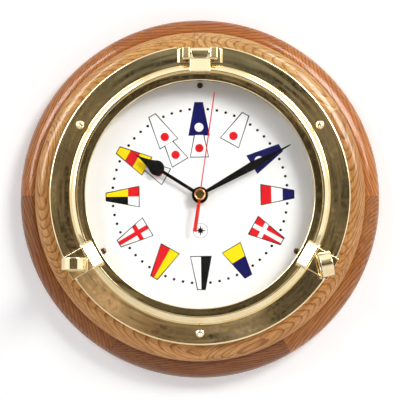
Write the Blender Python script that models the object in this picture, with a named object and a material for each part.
# Porthole clock. A brass porthole ring with a hinged glass is screwed to a turned oak
# base, and a dial with a quartz movement sits behind the glass.
# Units are metres. X points right, Z points up and the dial faces -Y. The origin is the
# centre of the base's back, which lies against the wall. A depth is a distance forwards
# from the wall, so depth d is at y = -d. Angles run anticlockwise from +X as seen from
# the front, so 90 degrees is at the hinge.

import bmesh
import bpy
from math import asin, atan2, cos, degrees, pi, radians, sin
from mathutils import Matrix, Vector

# Clearances
FIT = 0.0003                    # face gap between pieces that seat on each other
PIVOT_CLEARANCE = 0.0003        # round a pivot, a pipe or a pin in its hole
SCREW_CLEARANCE = 0.0004        # round a wood screw in its pilot hole
SWING_CLEARANCE = 0.0012        # round the bezel's spigot, which swings out of the flange

# Facets of a full turn
RING_SIDES = 48
GLAZING_SIDES = 36
HOOP_SIDES = 24
SMALL_SIDES = 16
PIN_SIDES = 12
ARBOR_SIDES = 8

# Window and bezel, from the glass outwards
WINDOW_RADIUS = 0.0737
LIP_WIDTH = 0.0033              # how far the lip covers the edge of the glass
LIP_THICKNESS = 0.0014
LIP_RISE = 0.0005               # underside of the lip above the seat face
BEZEL_WALL = 0.0014
BEZEL_SEAT = 0.0058             # width of the face that rests on the flange
BEAD_RADIUS = 0.0026
BEAD_HEIGHT = 0.0076            # top of the bead above the seat face
GLASS_THICKNESS = 0.0020
GLASS_GASKET = 0.0008
RETAINER_THICKNESS = 0.0013
RETAINER_WIDTH = 0.0027

# Flange
FLANGE_BAND = 0.0130            # flat brass that shows outside the bezel
FLANGE_THICKNESS = 0.0057
FLANGE_EDGE_ROUND = 0.0030
FLANGE_LEDGE = 0.0009           # brass left behind the bezel's spigot
SPIGOT_WALL = 0.0018            # the flange's own spigot in the oak

# Hinge
HINGE_OFFSET = 0.0063           # pin axis outside the bezel
HINGE_RISE = 0.0045             # pin axis in front of the flange face
KNUCKLE_RADIUS = 0.0040
LUG_WIDTH = 0.0129
EAR_WIDTH = 0.0045
EAR_FOOT = 0.0036               # step of each ear's foot beyond its knuckle
FOOT_HEIGHT = 0.0022
HINGE_SIDE_GAP = 0.0003
CHORD_STEP = 0.0004             # flat on the flange's edge, beyond the hinge's feet
PIN_RADIUS = 0.00125
PIN_COVER = 0.0012              # brass of the lug in front of the pin's hole
HEEL_REACH = 0.0034             # heel of the lug in front of the pin axis
LUG_BACK_SWEEP = 125            # degrees of the lug's round back
OPEN_LIMIT = radians(100)

# Dogs: the two tabs on the bezel, with their pads on the flange
DOG_ANGLES = {"left": radians(210), "right": radians(330)}
DOG_WIDTH = 0.0155
DOG_RADIUS_OFFSET = 0.0078      # screw axis outside the bezel
DOG_REACH = 0.0060              # tab beyond the screw axis
TAB_THICKNESS = 0.0035
TAB_EASE = 0.0005               # bevel along the tab's outer end
BOSS_HEIGHT = 0.0101            # top of the boss above the seat face
PAD_HEIGHT = 0.0015
PAD_MARGIN = 0.0012             # pad wider than the tab, each side
PAD_GAP = 0.0008                # pad to the bezel's rim

# Thumb screws
SCREW_RADIUS = 0.0020
THREAD_CLEARANCE = 0.0005
THREAD_LENGTH = 0.0021          # shank that reaches into the plain flange hole
SCREW_TRAVEL = 0.0032
SCREW_TIP_BEVEL = 0.0006
CLIP_RADIUS = 0.0035
CLIP_THICKNESS = 0.0008
CLIP_MOUTH = 0.0022
GROOVE_DEPTH = 0.0006
CLIP_SWING = 0.0007             # round the clip in the pad's counterbore
COLLAR_RADIUS = 0.0034
COLLAR_HEIGHT = 0.0018
RING_RADIUS = 0.0080
RING_BORE = 0.0062
RING_WIDTH = 0.0077
RING_WAIST = 0.0004
RING_SINK = 0.0006              # ring let into its collar
RING_TURN = {"left": radians(90), "right": radians(12)}

# Oak base
RIM_SHOWING = 0.0106            # front layer outside the flange
BASE_SHOWING = 0.0107           # back layer outside the front layer
BASE_LAYER = 0.0214
RIM_LAYER = 0.0083
BASE_SIDE = 0.0090              # straight side before the moulding turns in
BASE_FOOT_BEVEL = 0.0010
RIM_STEP = 0.0010               # square step between the two mouldings
RIM_FLAT = 0.0012               # flat oak round the flange
DIAL_LEDGE = 0.0140
OAK_SEGMENTS = 6
SEGMENT_STEPS = 8
RIM_JOINT_TWIST = radians(2)

# Dial
DIAL_RADIUS = 0.0780
DIAL_THICKNESS = 0.0008
DIAL_CLEARANCE = 0.0010
DIAL_SCREW_INSET = 0.0055
DIAL_SCREW_ANGLES = [radians(90), radians(210), radians(330)]
FLANGE_SCREW_OFFSET = 0.0053
FLANGE_SCREW_ANGLES = [radians(30), radians(150), radians(270)]

# Wood screws: head radius, head height, shank radius, length under the head
FLANGE_SCREW = (0.0027, 0.0016, 0.0014, 0.0125)
DIAL_SCREW = (0.00195, 0.0011, 0.0010, 0.0080)
HANGER_SCREW = (0.0024, 0.0010, 0.0011, 0.0090)

# Keyhole hanger in the back of the base
HANGER_WIDTH = 0.0440
HANGER_HEIGHT = 0.0150
HANGER_THICKNESS = 0.0013
HANGER_CORNER = 0.0050
HANGER_RADIUS = 0.0915          # plate centre above the dial axis
HANGER_SCREW_SPACING = 0.0320
HANGER_SINK = 0.0014            # plate behind the wall plane, so the screw heads clear it
KEYHOLE_RADIUS = 0.0045
KEYHOLE_DROP = 0.0022           # round hole below the plate's centre
SLOT_HALF_WIDTH = 0.0025
SLOT_REACH = 0.0040
NAIL_POCKET_DEPTH = 0.0085

# Movement
MOVEMENT_SIZE = 0.0560
MOVEMENT_DEPTH = 0.0160
CASE_WALL = 0.0016
PLATE_THICKNESS = 0.0014
CASE_CORNER = 0.0030
BATTERY_RADIUS = 0.00705
BATTERY_LENGTH = 0.0492
BATTERY_NUB = (0.0026, 0.0013)  # radius, height
CONTACT_THICKNESS = 0.0004
CONTACT_WIDTH = 0.0098
CONTACT_BUMP = 0.0039           # width of the part that springs out to the cell
BOARD_THICKNESS = 0.0008
BOARD_BLOB_RADIUS = 0.0026
MIDDLE_PLATE = 0.0008
WHEEL_THICKNESS = 0.0006
PINION_OVERLAP = 0.0004         # pinion beyond the wheel that it drives

# Pipes and shaft that carry the hands
SECOND_SHAFT_RADIUS = 0.00055
PIPE_WALL_MINUTE = 0.00075
PIPE_WALL_HOUR = 0.00060
BUSHING_WALL = 0.00080
WASHER_THICKNESS = 0.0005
WASHER_WIDTH = 0.0013
NUT_THICKNESS = 0.0020
NUT_RADIUS = 0.0052             # corners, hidden behind the hands' hubs as the washer is
BUSHING_END = 0.0004            # bushing beyond the nut
HAND_SPACING = 0.0013
HAND_THICKNESS = 0.0005
PIPE_END = 0.0004               # pipe beyond the hand that it carries

# Hands
HOUR_LENGTH = 0.0526
HOUR_BULB_RADIUS = 0.0050
HOUR_BULB_CENTRE = 0.0333
HOUR_BULB_END = 48              # degrees round the bulb where the long point starts
HOUR_POINT_CURVE = 1.9          # how hollow the sides of the long point are
HOUR_TIP = 0.00006
HOUR_STEM = 0.0011
MINUTE_LENGTH = 0.0675
MINUTE_BROAD = 0.00275
MINUTE_BROAD_AT = 0.0390
MINUTE_NARROW = 0.0007
MINUTE_NARROW_AT = 0.0600
MINUTE_TIP = 0.00035
HAND_HUB = 0.0053
SECOND_LENGTH = 0.0677
SECOND_TAIL = 0.0244
SECOND_TAIL_WIDTH = 0.0023
SECOND_TAIL_WAIST = 0.0018
SECOND_WIDTH = 0.0008
SECOND_TIP = 0.00056
SECOND_HUB = 0.0023
CAP_RADIUS = 0.0038
CAP_ROUND = 0.0008
HOUR_ANGLE = radians(302.1)     # clockwise from twelve, as are the next two
MINUTE_ANGLE = radians(60.9)
SECOND_ANGLE = radians(8.0)

# Teeth: name of the mesh: (pinion leaves, wheel teeth)
ROTOR_MESH = (6, 30)
SECOND_MESH = (6, 36)
THIRD_MESH = (6, 45)
CENTRE_MESH = (6, 48)
CANNON_MESH = (8, 24)
HOUR_MESH = (8, 32)
ROTOR_MODULE = 0.00047
THIRD_MODULE = 0.00038
MOTION_MODULE = 0.00066
PINION_ADDENDUM = 0.9
WHEEL_ADDENDUM = 1.0
ROOT_CLEARANCE = 0.25
TIP_SHARE = 0.10                # half a tooth's tip, as a share of the pitch
ROOT_SHARE = 0.20
ARBOR_RADIUS = 0.0004
MOTION_ARBOR_RADIUS = 0.0008
ROTOR_ANGLE = radians(20)       # from the intermediate arbor to the rotor
INTERMEDIATE_ANGLE = radians(90)
THIRD_ANGLE = radians(180)
MOTION_ANGLE = 0.0
MAGNET_RADIUS = 0.0026
MAGNET_THICKNESS = 0.0014
KNOB_RADIUS = 0.0050
KNOB_HEIGHT = 0.0040
KNOB_FLUTE = 0.00035
KNOB_POINTS = 24

# Motor
STATOR_THICKNESS = 0.0008
STATOR_SHOE_RADIUS = 0.0049     # round the rotor
STATOR_REACH = 0.0057           # from the rotor to the stator's outer edge
CORE_WIDTH = 0.0026
SPOOL_FLANGE = 0.0008
WINDING_DEPTH = 0.00055         # winding below the spool's flanges

# Radii that follow
rebate_radius = WINDOW_RADIUS + LIP_WIDTH
spigot_radius = rebate_radius + BEZEL_WALL
bezel_radius = spigot_radius + BEZEL_SEAT
flange_bore = spigot_radius + SWING_CLEARANCE
flange_radius = bezel_radius + FLANGE_BAND
rim_radius = flange_radius + RIM_SHOWING
base_radius = rim_radius + BASE_SHOWING
base_bore = DIAL_RADIUS - DIAL_LEDGE
rim_bore = DIAL_RADIUS + DIAL_CLEARANCE
locating_radius = rim_bore - FIT
locating_bore = locating_radius - SPIGOT_WALL
hinge_height = bezel_radius + HINGE_OFFSET
hinge_top = hinge_height + KNUCKLE_RADIUS
lug_slot = LUG_WIDTH / 2 + HINGE_SIDE_GAP
ear_end = lug_slot + EAR_WIDTH
foot_end = ear_end + EAR_FOOT
dog_radius = bezel_radius + DOG_RADIUS_OFFSET
flange_screw_radius = bezel_radius + FLANGE_SCREW_OFFSET
dial_screw_radius = DIAL_RADIUS - DIAL_SCREW_INSET

# Depths that follow
dial_back = BASE_LAYER + FIT
dial_front = dial_back + DIAL_THICKNESS
rim_back = BASE_LAYER + FIT
rim_front = rim_back + RIM_LAYER
flange_back = rim_front + FIT
flange_front = flange_back + FLANGE_THICKNESS
ledge_depth = flange_back + FLANGE_LEDGE
seat_depth = flange_front + FIT
lip_back = seat_depth + LIP_RISE
lip_front = lip_back + LIP_THICKNESS
bead_top = seat_depth + BEAD_HEIGHT
gasket_front = lip_back - FIT
gasket_back = gasket_front - GLASS_GASKET
glass_front = gasket_back - FIT
glass_back = glass_front - GLASS_THICKNESS
retainer_front = glass_back - FIT
retainer_back = retainer_front - RETAINER_THICKNESS
spigot_back = ledge_depth + FIT
hinge_depth = flange_front + HINGE_RISE
boss_root = flange_front - FLANGE_THICKNESS / 2
pad_front = flange_front + PAD_HEIGHT
tab_back = pad_front + FIT
tab_front = tab_back + TAB_THICKNESS
boss_top = seat_depth + BOSS_HEIGHT
clip_front = tab_back - SCREW_TRAVEL - FIT
clip_back = clip_front - CLIP_THICKNESS
counterbore_back = clip_back - FIT
shank_end = counterbore_back - THREAD_LENGTH
collar_back = tab_front + FIT
collar_front = collar_back + COLLAR_HEIGHT
movement_front = dial_back - FIT
movement_back = movement_front - MOVEMENT_DEPTH
case_inner_front = movement_front - PLATE_THICKNESS
case_inner_back = movement_back + PLATE_THICKNESS

# Pipe radii, from the second shaft outwards
minute_pipe_bore = SECOND_SHAFT_RADIUS + PIVOT_CLEARANCE
minute_pipe_radius = minute_pipe_bore + PIPE_WALL_MINUTE
hour_pipe_bore = minute_pipe_radius + PIVOT_CLEARANCE
hour_pipe_radius = hour_pipe_bore + PIPE_WALL_HOUR
bushing_bore = hour_pipe_radius + PIVOT_CLEARANCE
bushing_radius = bushing_bore + BUSHING_WALL
nut_bore = bushing_radius + FIT

# Stack in front of the dial
washer_back = dial_front + FIT
nut_back = washer_back + WASHER_THICKNESS + FIT
nut_front = nut_back + NUT_THICKNESS
bushing_front = nut_front + BUSHING_END
hour_hand_back = bushing_front + FIT
minute_hand_back = hour_hand_back + HAND_SPACING + HAND_THICKNESS
second_hand_back = minute_hand_back + HAND_SPACING + HAND_THICKNESS

# Wheel layers share what the case leaves between its plates
LAYER_WHEELS = 6
layer_gap = (case_inner_front - case_inner_back - LAYER_WHEELS * WHEEL_THICKNESS - MIDDLE_PLATE)
layer_gap = layer_gap / (LAYER_WHEELS + 2)
GOING_LAYERS = 4
middle_plate_back = case_inner_back + GOING_LAYERS * (layer_gap + WHEEL_THICKNESS) + layer_gap
middle_plate_front = middle_plate_back + MIDDLE_PLATE

# Arbor places, from the tooth counts
motion_pitch = MOTION_MODULE * sum(CANNON_MESH) / 2
third_pitch = THIRD_MODULE * sum(THIRD_MESH) / 2
intermediate_pitch = ROTOR_MODULE * sum(SECOND_MESH) / 2
rotor_pitch = ROTOR_MODULE * sum(ROTOR_MESH) / 2
CENTRE_MODULE = 2 * third_pitch / sum(CENTRE_MESH)
HOUR_MODULE = 2 * motion_pitch / sum(HOUR_MESH)


def polar(radius, angle, centre=(0.0, 0.0)):
    return (centre[0] + radius * cos(angle), centre[1] + radius * sin(angle))


motion_arbor = polar(motion_pitch, MOTION_ANGLE)
third_arbor = polar(third_pitch, THIRD_ANGLE)
intermediate_arbor = polar(intermediate_pitch, INTERMEDIATE_ANGLE)
rotor_arbor = polar(rotor_pitch, ROTOR_ANGLE, intermediate_arbor)

# Battery bay across the bottom of the case
case_half = MOVEMENT_SIZE / 2
chamber_half = case_half - CASE_WALL
bay_bottom = -chamber_half
bay_top = bay_bottom + 2 * BATTERY_RADIUS + 3 * FIT
chamber_bottom = bay_top + CASE_WALL
battery_height = bay_bottom + BATTERY_RADIUS + FIT
battery_depth = case_inner_front - FIT - BATTERY_RADIUS

# Finishes: base colour, metallic, roughness
OAK_BACK = ((0.30, 0.115, 0.035), 0.0, 0.28)
OAK_RIM = ((0.46, 0.225, 0.080), 0.0, 0.28)
BRASS = ((0.78, 0.57, 0.22), 1.0, 0.12)
DARK_BRONZE = ((0.10, 0.06, 0.03), 1.0, 0.35)
STEEL = ((0.55, 0.55, 0.53), 1.0, 0.30)
GLASS = ((0.95, 0.97, 0.96), 0.0, 0.02)
DIAL_WHITE = ((0.86, 0.86, 0.84), 0.0, 0.45)
HAND_BLACK = ((0.01, 0.01, 0.012), 0.0, 0.40)
HAND_RED = ((0.62, 0.01, 0.015), 0.0, 0.40)
CASE_BLACK = ((0.02, 0.02, 0.02), 0.0, 0.50)
WHEEL_WHITE = ((0.75, 0.74, 0.70), 0.0, 0.45)
COPPER = ((0.60, 0.22, 0.09), 1.0, 0.30)
BOARD_GREEN = ((0.03, 0.16, 0.06), 0.0, 0.50)
BATTERY_SHELL = ((0.10, 0.10, 0.11), 0.6, 0.35)
RUBBER = ((0.03, 0.03, 0.03), 0.0, 0.80)


# Meshes

def closed(shape):
    """Turns every face outwards and hands back a mesh."""
    bmesh.ops.remove_doubles(shape, verts=shape.verts, dist=1e-7)
    bmesh.ops.recalc_face_normals(shape, faces=shape.faces)
    mesh = bpy.data.meshes.new("solid")
    shape.to_mesh(mesh)
    shape.free()
    return mesh


def turned(profile, sides=RING_SIDES, centre=(0.0, 0.0)):
    """Spins an outline of (radius, depth) points about an axis through centre.

    The first facet's middle is at +X, so holes at round angles miss the facets' edges."""
    shape = bmesh.new()
    verts = [shape.verts.new((radius, -depth, 0.0)) for radius, depth in profile]
    pairs = list(zip(verts, verts[1:]))
    if profile[0][0] > 0.0:
        pairs.append((verts[-1], verts[0]))
    edges = [shape.edges.new(pair) for pair in pairs]
    bmesh.ops.spin(shape, geom=verts + edges, cent=(0, 0, 0), axis=(0, -1, 0), dvec=(0, 0, 0),
                   angle=2 * pi, steps=sides, use_merge=True, use_duplicate=False)
    bmesh.ops.rotate(shape, cent=(0, 0, 0), matrix=Matrix.Rotation(pi / sides, 3, "Y"), verts=shape.verts)
    bmesh.ops.translate(shape, vec=(centre[0], 0.0, centre[1]), verts=shape.verts)
    return closed(shape)


def sector(profile, start, sweep, steps):
    """Spins a filled outline of (radius, depth) points through part of a turn."""
    shape = bmesh.new()
    face = shape.faces.new([shape.verts.new((radius, -depth, 0.0)) for radius, depth in profile])
    bmesh.ops.spin(shape, geom=[face], cent=(0, 0, 0), axis=(0, -1, 0), dvec=(0, 0, 0),
                   angle=sweep, steps=steps, use_merge=False, use_duplicate=False)
    bmesh.ops.rotate(shape, cent=(0, 0, 0), matrix=Matrix.Rotation(-start, 3, "Y"), verts=shape.verts)
    return closed(shape)


def extruded(points, axis, end):
    """Fills a flat outline and extrudes it along an axis up to the coordinate end."""
    shape = bmesh.new()
    face = shape.faces.new([shape.verts.new(point) for point in points])
    pushed = bmesh.ops.extrude_face_region(shape, geom=[face])
    for item in pushed["geom"]:
        if isinstance(item, bmesh.types.BMVert):
            item.co[axis] = end
    return closed(shape)


def plate(outline, back, front):
    """A flat plate from an outline of (x, z) points, between two depths."""
    return extruded([(x, -back, z) for x, z in outline], 1, -front)


def side_profile(outline, low, high):
    """A block from an outline of (z, depth) points, between two places along X."""
    return extruded([(low, -depth, z) for z, depth in outline], 0, high)


def top_profile(outline, low, high):
    """A block from an outline of (x, depth) points, between two heights."""
    return extruded([(x, -depth, low) for x, depth in outline], 2, high)


def box(low, high):
    """A block between two corners given as (x, z, depth)."""
    outline = [(low[0], low[1]), (high[0], low[1]), (high[0], high[1]), (low[0], high[1])]
    return plate(outline, low[2], high[2])


def circle(radius, sides, centre=(0.0, 0.0)):
    """Corners of a regular outline, none of them level with its centre or straight above it."""
    return [polar(radius, 2 * pi * (step + 0.5) / sides, centre) for step in range(sides)]


def rod(radius, back, front, centre=(0.0, 0.0), sides=PIN_SIDES):
    """A plain cylinder along the depth."""
    return plate(circle(radius, sides, centre), back, front)


def cross_rod(radius, low, high, height, depth, sides=SMALL_SIDES):
    """A plain cylinder along X."""
    return side_profile(circle(radius, sides, (height, depth)), low, high)


def arc(centre, radii, start, end, steps):
    """Points of an elliptic arc, ends included. Angles are in degrees."""
    angles = [radians(start + (end - start) * step / steps) for step in range(steps + 1)]
    return [(centre[0] + radii[0] * cos(angle), centre[1] + radii[1] * sin(angle)) for angle in angles]


def rounded_rectangle(low, high, corner, steps=3):
    """Outline of a rectangle with round corners."""
    size = (corner, corner)
    outline = arc((high[0] - corner, high[1] - corner), size, 0, 90, steps)
    outline += arc((low[0] + corner, high[1] - corner), size, 90, 180, steps)
    outline += arc((low[0] + corner, low[1] + corner), size, 180, 270, steps)
    outline += arc((high[0] - corner, low[1] + corner), size, 270, 360, steps)
    return outline


def toothed(teeth, module, addendum, partner_addendum, phase, centre=(0.0, 0.0)):
    """Outline of a toothed wheel, with a tooth at the phase angle."""
    pitch = 2 * pi / teeth
    root = module * (teeth / 2 - partner_addendum - ROOT_CLEARANCE)
    tip = module * (teeth / 2 + addendum)
    flank = [(-ROOT_SHARE, root), (-TIP_SHARE, tip), (TIP_SHARE, tip), (ROOT_SHARE, root)]
    outline = []
    for tooth in range(teeth):
        for share, radius in flank:
            outline.append(polar(radius, phase + (tooth + share) * pitch, centre))
    return outline


def pinion(leaves, module, gap_angle, centre=(0.0, 0.0)):
    """Outline of a driving pinion, with a gap at the given angle."""
    return toothed(leaves, module, PINION_ADDENDUM, WHEEL_ADDENDUM, gap_angle + pi / leaves, centre)


def wheel(teeth, module, tooth_angle, centre=(0.0, 0.0)):
    """Outline of a driven wheel, with a tooth at the given angle."""
    return toothed(teeth, module, WHEEL_ADDENDUM, PINION_ADDENDUM, tooth_angle, centre)


# Objects

def combine(body, tools, operation):
    """Unites, cuts or trims a mesh with others, one after another."""
    target = bpy.data.objects.new("target", body)
    bpy.context.collection.objects.link(target)
    for tool_mesh in tools:
        tool = bpy.data.objects.new("tool", tool_mesh)
        bpy.context.collection.objects.link(tool)
        modifier = target.modifiers.new("combine", "BOOLEAN")
        modifier.operation = operation
        modifier.solver = "EXACT"
        modifier.object = tool
        graph = bpy.context.evaluated_depsgraph_get()
        result = bpy.data.meshes.new_from_object(target.evaluated_get(graph))
        target.modifiers.clear()
        target.data = result
        bpy.data.objects.remove(tool)
    bpy.data.objects.remove(target)
    return result


def fused(body, *others):
    return combine(body, others, "UNION")


def cut(body, *tools):
    return combine(body, tools, "DIFFERENCE")


def common(body, tool):
    return combine(body, [tool], "INTERSECT")


def piece(name, mesh, finish, pivot=(0.0, 0.0, 0.0), parent=None):
    """Makes a named object with its own material and its origin at the pivot."""
    colour, metallic, roughness = finish
    material = bpy.data.materials.new(name)
    material.use_nodes = True
    shader = material.node_tree.nodes["Principled BSDF"]
    shader.inputs["Base Color"].default_value = (*colour, 1.0)
    shader.inputs["Metallic"].default_value = metallic
    shader.inputs["Roughness"].default_value = roughness
    mesh.transform(Matrix.Translation(-Vector(pivot)))
    mesh.materials.clear()
    mesh.materials.append(material)
    mesh.shade_smooth()
    mesh.set_sharp_from_angle(angle=radians(35))
    mesh.name = name
    made = bpy.data.objects.new(name, mesh)
    made.location = pivot
    bpy.context.collection.objects.link(made)
    if parent is not None:
        made.parent = parent
        made.matrix_parent_inverse = Matrix.Translation(-world_place(parent))
    return made


def world_place(made):
    """World place of an object whose parents are only moved, never turned."""
    place = Vector(made.location)
    if made.parent is not None:
        place = place + made.matrix_parent_inverse.translation + world_place(made.parent)
    return place


# Oak base

def base_profile():
    moulding = arc((rim_radius - RIM_STEP, BASE_SIDE),
                   (BASE_SHOWING + RIM_STEP, BASE_LAYER - BASE_SIDE), 0, 90, 5)
    return [(base_bore, 0.0), (base_radius - BASE_FOOT_BEVEL, 0.0),
            (base_radius, BASE_FOOT_BEVEL)] + moulding + [(base_bore, BASE_LAYER)]


def rim_profile():
    shoulder = (flange_radius + RIM_FLAT, rim_back + RIM_STEP)
    moulding = arc(shoulder, (rim_radius - shoulder[0], rim_front - shoulder[1]), 0, 90, 4)
    return [(rim_bore, rim_back), (rim_radius, rim_back)] + moulding + [(rim_bore, rim_front)]


def screw_hole(screw, angle, radius, head_face):
    """Cutter for a wood screw that is driven from the front."""
    reach = (head_face - screw[3] - FIT, head_face + 2 * FIT)
    return rod(screw[2] + SCREW_CLEARANCE, *reach, polar(radius, angle))


def within(angle, start, sweep):
    return (angle - start) % (2 * pi) < sweep


def oak_layer(name, profile, first_joint, holes, finish):
    """Six glued segments. holes is a list of (angle, cutter)."""
    step = 2 * pi / OAK_SEGMENTS
    glue_angle = FIT / ((base_bore + base_radius) / 2)
    for index in range(OAK_SEGMENTS):
        start = first_joint + index * step
        mesh = sector(profile, start + glue_angle / 2, step - glue_angle, SEGMENT_STEPS)
        cutters = [cutter for angle, cutter in holes if within(angle, start, step)]
        if cutters:
            mesh = cut(mesh, *cutters)
        piece(f"{name}_{index + 1}", mesh, finish)


def hanger_cutters():
    """Pockets for the keyhole plate, its screws and the head of the nail."""
    half = HANGER_WIDTH / 2 + FIT
    low = HANGER_RADIUS - HANGER_HEIGHT / 2 - FIT
    high = HANGER_RADIUS + HANGER_HEIGHT / 2 + FIT
    pocket_depth = HANGER_SINK + HANGER_THICKNESS + FIT
    cutters = [box((-half, low, -FIT), (half, high, pocket_depth))]
    nail_half = KEYHOLE_RADIUS + FIT
    nail_low = HANGER_RADIUS - KEYHOLE_DROP - KEYHOLE_RADIUS
    nail_high = HANGER_RADIUS + SLOT_REACH + FIT
    cutters.append(box((-nail_half, nail_low, 0.0), (nail_half, nail_high, NAIL_POCKET_DEPTH)))
    screw_end = HANGER_SINK + HANGER_SCREW[3] + FIT
    for side in (-1, 1):
        centre = (side * HANGER_SCREW_SPACING / 2, HANGER_RADIUS)
        cutters.append(rod(HANGER_SCREW[2] + SCREW_CLEARANCE, 0.0, screw_end, centre))
    return cutters


def oak_base():
    dial_holes = [(angle, screw_hole(DIAL_SCREW, angle, dial_screw_radius, dial_front))
                  for angle in DIAL_SCREW_ANGLES]
    hanger_holes = [(pi / 2, cutter) for cutter in hanger_cutters()]
    oak_layer("oak_base_segment", base_profile(), 0.0, dial_holes + hanger_holes, OAK_BACK)
    flange_holes = [(angle, screw_hole(FLANGE_SCREW, angle, flange_screw_radius, flange_front))
                    for angle in FLANGE_SCREW_ANGLES]
    first_joint = pi / OAK_SEGMENTS + RIM_JOINT_TWIST
    oak_layer("oak_rim_segment", rim_profile(), first_joint, flange_holes, OAK_RIM)


def wood_screw(name, screw, centre, face, forward, finish):
    """A round-head screw. Its head lies on face, on the side that forward (1 or -1) gives."""
    head, height, shank, length = screw
    dome = arc((0.0, height / 4), (head, height * 3 / 4), 0, 90, 3)
    half = [(0.0, -length), (shank, shank - length), (shank, 0.0), (head, 0.0)] + dome[:-1] + [(0.0, height)]
    profile = [(radius, face + forward * (FIT + reach)) for radius, reach in half]
    piece(name, turned(profile, PIN_SIDES, centre), finish)


# Hanger

def keyhole_hanger():
    back = HANGER_SINK
    front = back + HANGER_THICKNESS
    half = HANGER_WIDTH / 2
    low = (-half, HANGER_RADIUS - HANGER_HEIGHT / 2)
    high = (half, HANGER_RADIUS + HANGER_HEIGHT / 2)
    body = plate(rounded_rectangle(low, high, HANGER_CORNER), back, front)
    hole_centre = (0.0, HANGER_RADIUS - KEYHOLE_DROP)
    reach = (back - FIT, front + FIT)
    slot_top = HANGER_RADIUS + SLOT_REACH - SLOT_HALF_WIDTH
    slot = arc((0.0, slot_top), (SLOT_HALF_WIDTH, SLOT_HALF_WIDTH), 0, 180, 6)
    slot = slot + [(-SLOT_HALF_WIDTH, hole_centre[1]), (SLOT_HALF_WIDTH, hole_centre[1])]
    tools = [rod(KEYHOLE_RADIUS, *reach, hole_centre, SMALL_SIDES), plate(slot, *reach)]
    for side in (-1, 1):
        centre = (side * HANGER_SCREW_SPACING / 2, HANGER_RADIUS)
        tools.append(rod(HANGER_SCREW[2] + SCREW_CLEARANCE, *reach, centre))
    piece("keyhole_hanger", cut(body, *tools), STEEL)


def hanger_screws():
    for label, side in (("left", -1), ("right", 1)):
        centre = (side * HANGER_SCREW_SPACING / 2, HANGER_RADIUS)
        wood_screw(f"hanger_screw_{label}", HANGER_SCREW, centre, HANGER_SINK, -1, STEEL)


# Flange

def radial_block(outline, width, angle):
    """A block from an outline of (radius, depth) points, centred on a radial line."""
    mesh = top_profile(outline, -width / 2, width / 2)
    mesh.transform(Matrix.Rotation(-angle, 4, "Y"))
    return mesh


def dog_pad(angle):
    inner = bezel_radius + PAD_GAP
    outer = dog_radius + DOG_REACH - 2 * PAD_MARGIN
    outline = [(inner, boss_root), (inner, pad_front), (outer, pad_front), (outer + PAD_MARGIN, flange_front),
               (outer + PAD_MARGIN, boss_root)]
    return radial_block(outline, DOG_WIDTH + 2 * PAD_MARGIN, angle)


def hinge_bracket(side):
    """One ear and its foot: a stepped block, trimmed to the outline that shows from the side."""
    foot_top = flange_front + FOOT_HEIGHT
    crown = hinge_depth + 2 * KNUCKLE_RADIUS
    slope = FOOT_HEIGHT / 2
    steps = [(lug_slot, boss_root), (lug_slot, crown), (ear_end, crown), (ear_end, foot_top),
             (foot_end - slope, foot_top), (foot_end, foot_top - slope), (foot_end, boss_root)]
    low = bezel_radius + PAD_GAP
    block = top_profile([(side * x, depth) for x, depth in steps], low - FIT, hinge_top + FIT)
    dome = arc((hinge_height, hinge_depth), (KNUCKLE_RADIUS, KNUCKLE_RADIUS), 0, 180, 8)
    outline = [(hinge_top, boss_root - FIT)] + dome
    outline += [(hinge_height - KNUCKLE_RADIUS, foot_top), (low + slope, foot_top), (low, foot_top - slope),
                (low, boss_root - FIT)]
    return common(block, side_profile(outline, -foot_end - FIT, foot_end + FIT))


def flange():
    edge = arc((flange_radius - FLANGE_EDGE_ROUND, flange_front - FLANGE_EDGE_ROUND),
               (FLANGE_EDGE_ROUND, FLANGE_EDGE_ROUND), 0, 90, 3)
    profile = [(locating_bore, dial_front + FIT), (locating_radius, dial_front + FIT),
               (locating_radius, flange_back), (flange_radius, flange_back)] + edge
    profile += [(flange_bore, flange_front), (flange_bore, ledge_depth), (locating_bore, ledge_depth)]
    mesh = turned(profile)
    chord_half = foot_end + CHORD_STEP
    mesh = cut(mesh, box((-chord_half, hinge_top + CHORD_STEP, flange_back - FIT),
                         (chord_half, flange_radius + FIT, flange_front + FIT)))
    brackets = [hinge_bracket(side) for side in (-1, 1)]
    pads = [dog_pad(angle) for angle in DOG_ANGLES.values()]
    mesh = fused(mesh, *brackets, *pads)
    tools = [cross_rod(PIN_RADIUS + PIVOT_CLEARANCE, -foot_end, foot_end, hinge_height, hinge_depth)]
    for angle in DOG_ANGLES.values():
        centre = polar(dog_radius, angle)
        tools.append(rod(SCREW_RADIUS + THREAD_CLEARANCE, flange_back - FIT, counterbore_back + FIT, centre,
                         SMALL_SIDES))
        tools.append(rod(CLIP_RADIUS + CLIP_SWING, counterbore_back, pad_front + FIT, centre, SMALL_SIDES))
    for angle in FLANGE_SCREW_ANGLES:
        centre = polar(flange_screw_radius, angle)
        tools.append(rod(FLANGE_SCREW[2] + SCREW_CLEARANCE, flange_back - FIT, flange_front + FIT, centre))
    piece("brass_flange", cut(mesh, *tools), BRASS)


# Bezel

def bezel_profile():
    bead_centre = (bezel_radius - BEAD_RADIUS, bead_top - BEAD_RADIUS)
    bead = arc(bead_centre, (BEAD_RADIUS, BEAD_RADIUS), 0, 180, 6)
    cove_end = (WINDOW_RADIUS + LIP_THICKNESS, lip_front)
    cove_start = bead[-1]
    cove = arc((cove_end[0], cove_start[1]), (cove_start[0] - cove_end[0], cove_start[1] - cove_end[1]),
               0, -90, 3)
    lip = [(WINDOW_RADIUS, lip_front - LIP_THICKNESS / 3), (WINDOW_RADIUS, lip_back)]
    return [(spigot_radius, spigot_back), (spigot_radius, seat_depth), (bezel_radius, seat_depth)] \
        + bead + cove[1:] + lip + [(rebate_radius, lip_back), (rebate_radius, spigot_back)]


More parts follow.
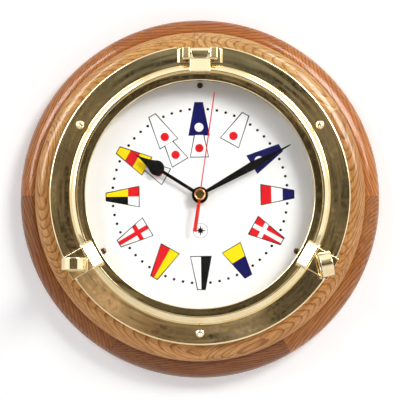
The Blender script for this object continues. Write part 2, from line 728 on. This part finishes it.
def dog_outline():
    """Tab with its boss, as (radius, depth) points."""
    tab_end = dog_radius + DOG_REACH
    boss_inner = WINDOW_RADIUS + LIP_THICKNESS
    bead_inner = bezel_radius - 2 * BEAD_RADIUS
    return [(bead_inner, seat_depth + LIP_RISE), (bezel_radius + FIT, tab_back),
            (tab_end - TAB_EASE, tab_back), (tab_end, tab_back + TAB_EASE), (tab_end, tab_front - TAB_EASE),
            (tab_end - TAB_EASE, tab_front), (bezel_radius - BEAD_RADIUS / 2, tab_front),
            (bead_inner - BEAD_RADIUS / 4, boss_top),
            (boss_inner + BEAD_RADIUS / 2, boss_top - BEAD_RADIUS / 6),
            (boss_inner, bead_top - BEAD_RADIUS), (boss_inner + LIP_THICKNESS, lip_front)]


def lug_outline():
    """Hinge lug as (height, depth) points. Its heel meets the flange when the bezel is open."""
    heel_up = (HINGE_RISE - FIT + HEEL_REACH * cos(OPEN_LIMIT)) / sin(OPEN_LIMIT)
    back = arc((hinge_height, hinge_depth), (KNUCKLE_RADIUS, KNUCKLE_RADIUS), 0, -LUG_BACK_SWEEP, 6)
    bead_inner = bezel_radius - 2 * BEAD_RADIUS
    boss_inner = WINDOW_RADIUS + LIP_THICKNESS
    waist = hinge_depth + PIN_RADIUS + PIVOT_CLEARANCE + PIN_COVER
    return back + [(bezel_radius + FIT, seat_depth + 2 * FIT), (bead_inner, seat_depth + LIP_RISE),
                   (boss_inner + LIP_THICKNESS, lip_front), (boss_inner, bead_top - BEAD_RADIUS),
                   (boss_inner + BEAD_RADIUS / 2, boss_top - BEAD_RADIUS / 6),
                   (bead_inner - BEAD_RADIUS / 4, boss_top),
                   (hinge_height - KNUCKLE_RADIUS, waist + FIT), (hinge_height - KNUCKLE_RADIUS / 2, waist),
                   (hinge_height, waist), (hinge_height + heel_up / 2, hinge_depth + HEEL_REACH),
                   (hinge_height + heel_up, hinge_depth + HEEL_REACH)]


def bezel(hinge_point):
    mesh = turned(bezel_profile())
    parts = [side_profile(lug_outline(), -LUG_WIDTH / 2, LUG_WIDTH / 2)]
    for angle in DOG_ANGLES.values():
        parts.append(radial_block(dog_outline(), DOG_WIDTH, angle))
    mesh = fused(mesh, *parts)
    tools = [cross_rod(PIN_RADIUS + PIVOT_CLEARANCE, -LUG_WIDTH, LUG_WIDTH, hinge_height, hinge_depth)]
    for angle in DOG_ANGLES.values():
        tools.append(rod(SCREW_RADIUS + THREAD_CLEARANCE, tab_back - FIT, tab_front + FIT,
                         polar(dog_radius, angle), SMALL_SIDES))
    return piece("bezel", cut(mesh, *tools), BRASS, hinge_point)


def glazing(hinge_point, parent):
    inner = rebate_radius - FIT
    window = inner - RETAINER_WIDTH
    gasket = [(window, gasket_back), (inner, gasket_back), (inner, gasket_front), (window, gasket_front)]
    piece("glass_gasket", turned(gasket, GLAZING_SIDES), RUBBER, hinge_point, parent)
    edge = GLASS_THICKNESS / 4
    glass = [(0.0, glass_back), (inner - edge, glass_back), (inner, glass_back + edge), (inner, glass_front),
             (0.0, glass_front)]
    pane = piece("glass", turned(glass, GLAZING_SIDES), GLASS, hinge_point, parent)
    shader = pane.data.materials[0].node_tree.nodes["Principled BSDF"]
    shader.inputs["Transmission Weight"].default_value = 1.0
    retainer = [(window, retainer_back), (inner, retainer_back), (inner, retainer_front),
                (window, retainer_front)]
    piece("glass_retaining_ring", turned(retainer, GLAZING_SIDES), BRASS, hinge_point, parent)


def hinge_pin():
    piece("hinge_pin", cross_rod(PIN_RADIUS, -ear_end, ear_end, hinge_height, hinge_depth), BRASS)


# Thumb screws

def thumb_screw(label, angle, parent):
    """A ring-headed screw, held in its tab by a clip, and the clip's slide."""
    centre = polar(dog_radius, angle)
    axis_point = (centre[0], -collar_back, centre[1])
    groove = SCREW_RADIUS - GROOVE_DEPTH
    groove_back = clip_back - FIT
    groove_front = clip_front + FIT
    ring_depth = collar_front + RING_RADIUS - RING_SINK
    neck_front = ring_depth - (RING_RADIUS + RING_BORE) / 2
    shank = [(0.0, shank_end), (SCREW_RADIUS - SCREW_TIP_BEVEL, shank_end),
             (SCREW_RADIUS, shank_end + SCREW_TIP_BEVEL), (SCREW_RADIUS, groove_back), (groove, groove_back),
             (groove, groove_front), (SCREW_RADIUS, groove_front), (SCREW_RADIUS, collar_back),
             (COLLAR_RADIUS, collar_back), (COLLAR_RADIUS, collar_front), (SCREW_RADIUS, neck_front),
             (0.0, neck_front)]
    body = turned(shank, PIN_SIDES, centre)
    half = RING_WIDTH / 2
    hoop = [(RING_BORE, -half), (RING_RADIUS, -half), (RING_RADIUS - RING_WAIST, 0.0), (RING_RADIUS, half),
            (RING_BORE, half)]
    ring = turned(hoop, HOOP_SIDES)
    ring.transform(Matrix.Rotation(pi / 2, 4, "Z"))
    ring.transform(Matrix.Rotation(-RING_TURN[label], 4, "Y"))
    ring.transform(Matrix.Translation((centre[0], -ring_depth, centre[1])))
    clip_outer = arc(centre, (CLIP_RADIUS, CLIP_RADIUS), 0, 360, SMALL_SIDES)[:-1]
    clip = plate(clip_outer, clip_back, clip_front)
    clip = cut(clip, rod(groove + PIVOT_CLEARANCE, clip_back - FIT, clip_front + FIT, centre, SMALL_SIDES),
               box((centre[0] - CLIP_MOUTH / 2, centre[1] - CLIP_RADIUS - FIT, clip_back - FIT),
                   (centre[0] + CLIP_MOUTH / 2, centre[1], clip_front + FIT)))
    holder = piece(f"retaining_clip_{label}", clip, STEEL, axis_point, parent)
    piece(f"thumb_screw_{label}", fused(body, ring), BRASS, axis_point, holder)


# Dial and what clamps the movement to it

def dial():
    reach = (dial_back - FIT, dial_front + FIT)
    tools = [rod(DIAL_SCREW[2] + SCREW_CLEARANCE, *reach, polar(dial_screw_radius, angle))
             for angle in DIAL_SCREW_ANGLES]
    tools.append(rod(bushing_radius + FIT, *reach, sides=SMALL_SIDES))
    piece("dial", cut(plate(circle(DIAL_RADIUS, RING_SIDES), dial_back, dial_front), *tools), DIAL_WHITE)


def clamp_nut():
    outer = nut_bore + WASHER_WIDTH
    washer = [(nut_bore, washer_back), (outer, washer_back), (outer, washer_back + WASHER_THICKNESS),
              (nut_bore, washer_back + WASHER_THICKNESS)]
    piece("movement_washer", turned(washer, SMALL_SIDES), BRASS)
    hexagon = plate(circle(NUT_RADIUS, 6), nut_back, nut_front)
    hole = rod(nut_bore, nut_back - FIT, nut_front + FIT, sides=SMALL_SIDES)
    piece("movement_nut", cut(hexagon, hole), BRASS)


# Movement case

def pivot_tools(radius, back, front, *arbors):
    return [rod(radius + PIVOT_CLEARANCE, back, front, arbor) for arbor in arbors]


def case_front():
    low = (-case_half, -case_half)
    high = (case_half, case_half)
    body = plate(rounded_rectangle(low, high, CASE_CORNER), movement_back, movement_front)
    bushing = rod(bushing_radius, case_inner_front, bushing_front, sides=SMALL_SIDES)
    body = fused(body, bushing)
    open_back = movement_back - FIT
    chamber = box((-chamber_half, chamber_bottom, open_back), (chamber_half, chamber_half, case_inner_front))
    bay = box((-chamber_half, bay_bottom, open_back), (chamber_half, bay_top, case_inner_front))
    bore = rod(bushing_bore, case_inner_front - FIT, bushing_front + FIT, sides=SMALL_SIDES)
    pivot = pivot_tools(ARBOR_RADIUS, case_inner_front - FIT, movement_front - FIT, motion_arbor)
    piece("movement_case", cut(body, chamber, bay, bore, *pivot), CASE_BLACK)


def inner_plate(name, back, front, tools, finish):
    """A plate that fills the wheel chamber from wall to wall."""
    half = chamber_half - FIT
    body = box((-half, chamber_bottom + FIT, back), (half, half, front))
    piece(name, cut(body, *tools), finish)


def movement_plates():
    back_tools = pivot_tools(ARBOR_RADIUS, case_inner_back - PLATE_THICKNESS / 2, case_inner_back + FIT,
                             (0.0, 0.0), third_arbor, intermediate_arbor, rotor_arbor)
    back_tools += pivot_tools(MOTION_ARBOR_RADIUS, movement_back - FIT, case_inner_back + FIT, motion_arbor)
    inner_plate("movement_back_cover", movement_back, case_inner_back, back_tools, CASE_BLACK)
    reach = (middle_plate_back - FIT, middle_plate_front + FIT)
    tools = pivot_tools(ARBOR_RADIUS, *reach, third_arbor, intermediate_arbor, rotor_arbor)
    tools += pivot_tools(MOTION_ARBOR_RADIUS, *reach, motion_arbor)
    tools += pivot_tools(minute_pipe_radius, *reach, (0.0, 0.0))
    inner_plate("movement_middle_plate", middle_plate_back, middle_plate_front, tools, CASE_BLACK)


# Wheels

def layer(index):
    """Back and front of a wheel layer, counted from the back cover."""
    extra = MIDDLE_PLATE + layer_gap if index >= GOING_LAYERS else 0.0
    back = case_inner_back + layer_gap + index * (layer_gap + WHEEL_THICKNESS) + extra
    return back, back + WHEEL_THICKNESS


def arbor_end_back():
    """Back pivots stop short of the bottom of their holes."""
    return case_inner_back - PLATE_THICKNESS / 2 + FIT


magnet_front = layer(0)[1] + PINION_OVERLAP + MAGNET_THICKNESS
magnet_back = magnet_front - MAGNET_THICKNESS - FIT


def rotor(turn_point):
    leaves, _ = ROTOR_MESH
    back, front = layer(0)
    toward = ROTOR_ANGLE + pi
    leaf_shape = plate(pinion(leaves, ROTOR_MODULE, toward, rotor_arbor), back - FIT, front + PINION_OVERLAP)
    magnet = rod(MAGNET_RADIUS, magnet_back, magnet_front, rotor_arbor, SMALL_SIDES)
    arbor = rod(ARBOR_RADIUS, arbor_end_back(), middle_plate_front, rotor_arbor, ARBOR_SIDES)
    piece("stepping_rotor", fused(magnet, leaf_shape, arbor), STEEL, turn_point)


def intermediate_wheel(turn_point):
    _, teeth = ROTOR_MESH
    leaves, _ = SECOND_MESH
    back, front = layer(0)
    body = plate(wheel(teeth, ROTOR_MODULE, ROTOR_ANGLE, intermediate_arbor), back, front)
    leaf_front = layer(1)[1] + PINION_OVERLAP
    leaf_shape = plate(pinion(leaves, ROTOR_MODULE, INTERMEDIATE_ANGLE + pi, intermediate_arbor),
                       front - FIT, leaf_front)
    arbor = rod(ARBOR_RADIUS, arbor_end_back(), middle_plate_front, intermediate_arbor, ARBOR_SIDES)
    piece("intermediate_wheel", fused(body, leaf_shape, arbor), WHEEL_WHITE, turn_point)


def second_wheel(turn_point):
    _, teeth = SECOND_MESH
    leaves, _ = THIRD_MESH
    back, front = layer(1)
    body = plate(wheel(teeth, ROTOR_MODULE, INTERMEDIATE_ANGLE), back, front)
    leaf_shape = plate(pinion(leaves, THIRD_MODULE, THIRD_ANGLE), front - FIT, layer(2)[1] + PINION_OVERLAP)
    shaft_end = second_hand_back + HAND_THICKNESS + PIPE_END
    shaft = rod(SECOND_SHAFT_RADIUS, case_inner_back + FIT, shaft_end, sides=ARBOR_SIDES)
    pivot = rod(ARBOR_RADIUS, arbor_end_back(), case_inner_back + 2 * FIT, sides=ARBOR_SIDES)
    piece("second_wheel", fused(body, leaf_shape, shaft, pivot), WHEEL_WHITE, turn_point)


def third_wheel(turn_point):
    _, teeth = THIRD_MESH
    leaves, _ = CENTRE_MESH
    back, front = layer(2)
    body = plate(wheel(teeth, THIRD_MODULE, THIRD_ANGLE + pi, third_arbor), back, front)
    leaf_shape = plate(pinion(leaves, CENTRE_MODULE, THIRD_ANGLE + pi, third_arbor),
                       front - FIT, layer(3)[1] + PINION_OVERLAP)
    arbor = rod(ARBOR_RADIUS, arbor_end_back(), middle_plate_front, third_arbor, ARBOR_SIDES)
    piece("third_wheel", fused(body, leaf_shape, arbor), WHEEL_WHITE, turn_point)


def centre_wheel(turn_point):
    _, teeth = CENTRE_MESH
    body = plate(wheel(teeth, CENTRE_MODULE, THIRD_ANGLE), *layer(3))
    reach = (layer(3)[0] - FIT, layer(3)[1] + FIT)
    bore = rod(minute_pipe_radius + PIVOT_CLEARANCE, *reach, sides=SMALL_SIDES)
    piece("centre_wheel", cut(body, bore), WHEEL_WHITE, turn_point)


def cannon_pinion(turn_point):
    leaves, _ = CANNON_MESH
    back, front = layer(4)
    pipe_end = minute_hand_back + HAND_THICKNESS + PIPE_END
    pipe = rod(minute_pipe_radius, layer(3)[0] - FIT, pipe_end, sides=SMALL_SIDES)
    leaf_shape = plate(pinion(leaves, MOTION_MODULE, MOTION_ANGLE), back - FIT, front + FIT)
    bore = rod(minute_pipe_bore, layer(3)[0] - 2 * FIT, pipe_end + FIT, sides=SMALL_SIDES)
    return piece("cannon_pinion", cut(fused(pipe, leaf_shape), bore), WHEEL_WHITE, turn_point)


def minute_wheel(turn_point):
    _, teeth = CANNON_MESH
    leaves, _ = HOUR_MESH
    back, front = layer(4)
    body = plate(wheel(teeth, MOTION_MODULE, MOTION_ANGLE + pi, motion_arbor), back, front)
    leaf_shape = plate(pinion(leaves, HOUR_MODULE, MOTION_ANGLE + pi, motion_arbor),
                       front - FIT, layer(5)[1] + PINION_OVERLAP)
    arbor = rod(MOTION_ARBOR_RADIUS, movement_back - 3 * FIT, front + FIT, motion_arbor, ARBOR_SIDES)
    pivot = rod(ARBOR_RADIUS, front, movement_front - 2 * FIT, motion_arbor, ARBOR_SIDES)
    made = piece("minute_wheel", fused(body, leaf_shape, arbor, pivot), WHEEL_WHITE, turn_point)
    knob_front = movement_back - 4 * FIT
    fluted = [polar(KNOB_RADIUS - KNOB_FLUTE * (point % 2), 2 * pi * point / KNOB_POINTS, motion_arbor)
              for point in range(KNOB_POINTS)]
    piece("setting_knob", plate(fluted, knob_front - KNOB_HEIGHT, knob_front), CASE_BLACK, turn_point, made)


def hour_wheel(turn_point):
    _, teeth = HOUR_MESH
    back, front = layer(5)
    pipe_end = hour_hand_back + HAND_THICKNESS + PIPE_END
    body = plate(wheel(teeth, HOUR_MODULE, MOTION_ANGLE), back, front)
    pipe = rod(hour_pipe_radius, back - FIT, pipe_end, sides=SMALL_SIDES)
    bore = rod(hour_pipe_bore, back - 2 * FIT, pipe_end + FIT, sides=SMALL_SIDES)
    return piece("hour_wheel", cut(fused(body, pipe), bore), WHEEL_WHITE, turn_point)


# Motor and battery

def stator(left, right, coil_height):
    """A flat lamination: a shoe round the magnet and two arms up to the coil's core."""
    front = magnet_front - FIT
    back = front - STATOR_THICKNESS
    top = coil_height + CORE_WIDTH
    near = rotor_arbor[0] - STATOR_SHOE_RADIUS / 2
    low = rotor_arbor[1] + MAGNET_RADIUS / 2
    inner = left + 2 * CORE_WIDTH
    shoe = rod(STATOR_SHOE_RADIUS, back, front, rotor_arbor, SMALL_SIDES)
    right_arm = box((near, rotor_arbor[1], back), (right, top, front))
    left_arm = plate([(left, low), (rotor_arbor[0], low), (rotor_arbor[0], low + CORE_WIDTH),
                      (inner, low + CORE_WIDTH), (inner, top), (left, top)], back, front)
    hole = rod(MAGNET_RADIUS + 2 * FIT, back - FIT, front + FIT, rotor_arbor, SMALL_SIDES)
    piece("stator", cut(fused(shoe, right_arm, left_arm), hole), STEEL)
    return near, inner


def motor():
    coil_radius = (middle_plate_back - case_inner_back) / 2 - FIT
    coil_depth = (middle_plate_back + case_inner_back) / 2
    coil_height = chamber_half - FIT - coil_radius
    left = -chamber_half + 4 * FIT
    right = rotor_arbor[0] + STATOR_REACH
    near, inner = stator(left, right, coil_height)
    low = (coil_height - CORE_WIDTH / 2, magnet_front)
    high = (coil_height + CORE_WIDTH / 2, magnet_front + CORE_WIDTH)
    piece("coil_core", box((left, *low), (right, *high)), STEEL)
    start = inner + FIT
    end = near - FIT
    spool = cross_rod(coil_radius, start, end, coil_height, coil_depth)
    outer = cross_rod(coil_radius + FIT, start + SPOOL_FLANGE, end - SPOOL_FLANGE, coil_height, coil_depth)
    winding = cross_rod(coil_radius - WINDING_DEPTH, start, end, coil_height, coil_depth)
    slot = box((start - FIT, low[0] - FIT, low[1] - FIT), (end + FIT, high[0] + FIT, high[1] + FIT))
    piece("coil", cut(spool, cut(outer, winding), slot), COPPER)


def circuit_board():
    back = case_inner_back + FIT
    front = back + BOARD_THICKNESS
    left = motion_arbor[0] + MOTION_ARBOR_RADIUS + 4 * FIT
    right = chamber_half - 2 * FIT
    low = chamber_bottom + 2 * FIT
    high = left
    body = box((left, low, back), (right, high, front))
    blob = turned([(0.0, back + FIT), (BOARD_BLOB_RADIUS, back + FIT), (BOARD_BLOB_RADIUS, front + FIT),
                   (0.0, front + 2 * FIT)], PIN_SIDES, ((left + right) / 2, (low + high) / 2))
    piece("circuit_board", fused(body, blob), BOARD_GREEN)


def battery():
    nub_radius, nub_height = BATTERY_NUB
    start = -(BATTERY_LENGTH + nub_height) / 2
    end = start + BATTERY_LENGTH
    body = cross_rod(BATTERY_RADIUS, start, end, battery_height, battery_depth, HOOP_SIDES)
    nub = cross_rod(nub_radius, end - FIT, end + nub_height, battery_height, battery_depth)
    piece("battery", fused(body, nub), BATTERY_SHELL)
    outer = chamber_half - FIT
    inner = outer - CONTACT_THICKNESS
    half = CONTACT_WIDTH / 2
    bump = CONTACT_BUMP / 2
    for label, side, tip in (("positive", 1, end + nub_height + FIT), ("negative", -1, -start + FIT)):
        spring = [(inner, -half), (outer, -half), (outer, half), (inner, half), (inner, bump), (tip, 0.0),
                  (inner, -bump)]
        outline = [(side * x, battery_depth + along_depth) for x, along_depth in spring]
        piece(f"battery_contact_{label}", top_profile(outline, battery_height - half, battery_height + half),
              BRASS)


# Hands

def along(points, clockwise):
    """Turns (distance, sideways) points to a direction clockwise from twelve."""
    angle = pi / 2 - clockwise
    return [(distance * cos(angle) - side * sin(angle), distance * sin(angle) + side * cos(angle))
            for distance, side in points]


def hub_arc(start, end, radius=HAND_HUB):
    return arc((0.0, 0.0), (radius, radius), start, end, PIN_SIDES)


def hub_angle(half_width, radius=HAND_HUB):
    """Where an edge at half_width leaves the hub's circle, in degrees."""
    return degrees(asin(half_width / radius))


def both_sides(half):
    """Mirrors one edge of a hand. The edge runs from its back end to its tip."""
    return [(distance, -side) for distance, side in half] + list(reversed(half))


def pointer(stem, edge):
    """A round hub with a hand that starts at the stem's half width."""
    start = hub_angle(stem)
    return hub_arc(start, 360 - start)[1:-1] + both_sides([hub_arc(start, start)[0]] + edge)


def hour_outline():
    enter = degrees(atan2(HOUR_STEM, -HOUR_BULB_RADIUS))
    bulb = arc((HOUR_BULB_CENTRE, 0.0), (HOUR_BULB_RADIUS, HOUR_BULB_RADIUS), enter, HOUR_BULB_END, 7)
    distance, side = bulb[-1]
    steps = 4
    point = []
    for step in range(1, steps + 1):
        share = step / steps
        point.append((distance + (HOUR_LENGTH - distance) * share,
                      side * (1 - share) ** HOUR_POINT_CURVE + HOUR_TIP))
    return pointer(HOUR_STEM, bulb + point)


def minute_outline():
    return pointer(HOUR_STEM, [(MINUTE_BROAD_AT, MINUTE_BROAD), (MINUTE_NARROW_AT, MINUTE_NARROW),
                               (MINUTE_LENGTH, MINUTE_TIP)])


def second_outline():
    tail = hub_angle(SECOND_TAIL_WAIST / 2, SECOND_HUB)
    needle = hub_angle(SECOND_WIDTH / 2, SECOND_HUB)
    hub = hub_arc(180 - tail, needle, SECOND_HUB)
    return both_sides([(-SECOND_TAIL, SECOND_TAIL_WIDTH / 2)] + hub + [(SECOND_LENGTH, SECOND_TIP / 2)])


def hand(name, outline, clockwise, back, bore, finish, turn_point, parent=None):
    front = back + HAND_THICKNESS
    blank = plate(along(outline, clockwise), back, front)
    bored = cut(blank, rod(bore, back - FIT, front + FIT, sides=SMALL_SIDES))
    piece(name, bored, finish, turn_point, parent)


def hands(turn_point, cannon, hour):
    hand("hour_hand", hour_outline(), HOUR_ANGLE, hour_hand_back, hour_pipe_radius + FIT, HAND_BLACK,
         turn_point, hour)
    hand("minute_hand", minute_outline(), MINUTE_ANGLE, minute_hand_back, minute_pipe_radius + FIT,
         HAND_BLACK, turn_point, cannon)
    hand("second_hand", second_outline(), SECOND_ANGLE, second_hand_back, SECOND_SHAFT_RADIUS + FIT,
         HAND_RED, turn_point)
    back = second_hand_back + HAND_THICKNESS + FIT
    front = back + PIPE_END + 2 * FIT
    stem = SECOND_SHAFT_RADIUS + FIT
    cap = [(0.0, back + PIPE_END), (stem, back + PIPE_END), (stem, back), (CAP_RADIUS, back),
           (CAP_RADIUS, front - FIT), (CAP_RADIUS - CAP_ROUND, front), (0.0, front)]
    piece("second_hand_cap", turned(cap, SMALL_SIDES), BRASS, turn_point)


def clear_scene():
    for old in list(bpy.data.objects):
        bpy.data.objects.remove(old, do_unlink=True)


def build():
    clear_scene()
    centre = (0.0, 0.0, 0.0)
    hinge_point = (0.0, -hinge_depth, hinge_height)
    oak_base()
    keyhole_hanger()
    hanger_screws()
    flange()
    hinge_pin()
    swinging = bezel(hinge_point)
    glazing(hinge_point, swinging)
    for label, angle in DOG_ANGLES.items():
        thumb_screw(label, angle, swinging)
    for number, angle in enumerate(FLANGE_SCREW_ANGLES, 1):
        centre_point = polar(flange_screw_radius, angle)
        wood_screw(f"flange_screw_{number}", FLANGE_SCREW, centre_point, flange_front, 1, BRASS)
    for number, angle in enumerate(DIAL_SCREW_ANGLES, 1):
        centre_point = polar(dial_screw_radius, angle)
        wood_screw(f"dial_screw_{number}", DIAL_SCREW, centre_point, dial_front, 1, DARK_BRONZE)
    dial()
    clamp_nut()
    case_front()
    movement_plates()
    rotor((rotor_arbor[0], 0.0, rotor_arbor[1]))
    intermediate_wheel((intermediate_arbor[0], 0.0, intermediate_arbor[1]))
    second_wheel(centre)
    third_wheel((third_arbor[0], 0.0, third_arbor[1]))
    centre_wheel(centre)
    cannon = cannon_pinion(centre)
    minute_wheel((motion_arbor[0], 0.0, motion_arbor[1]))
    hour = hour_wheel(centre)
    motor()
    circuit_board()
    battery()
    hands(centre, cannon, hour)


build()
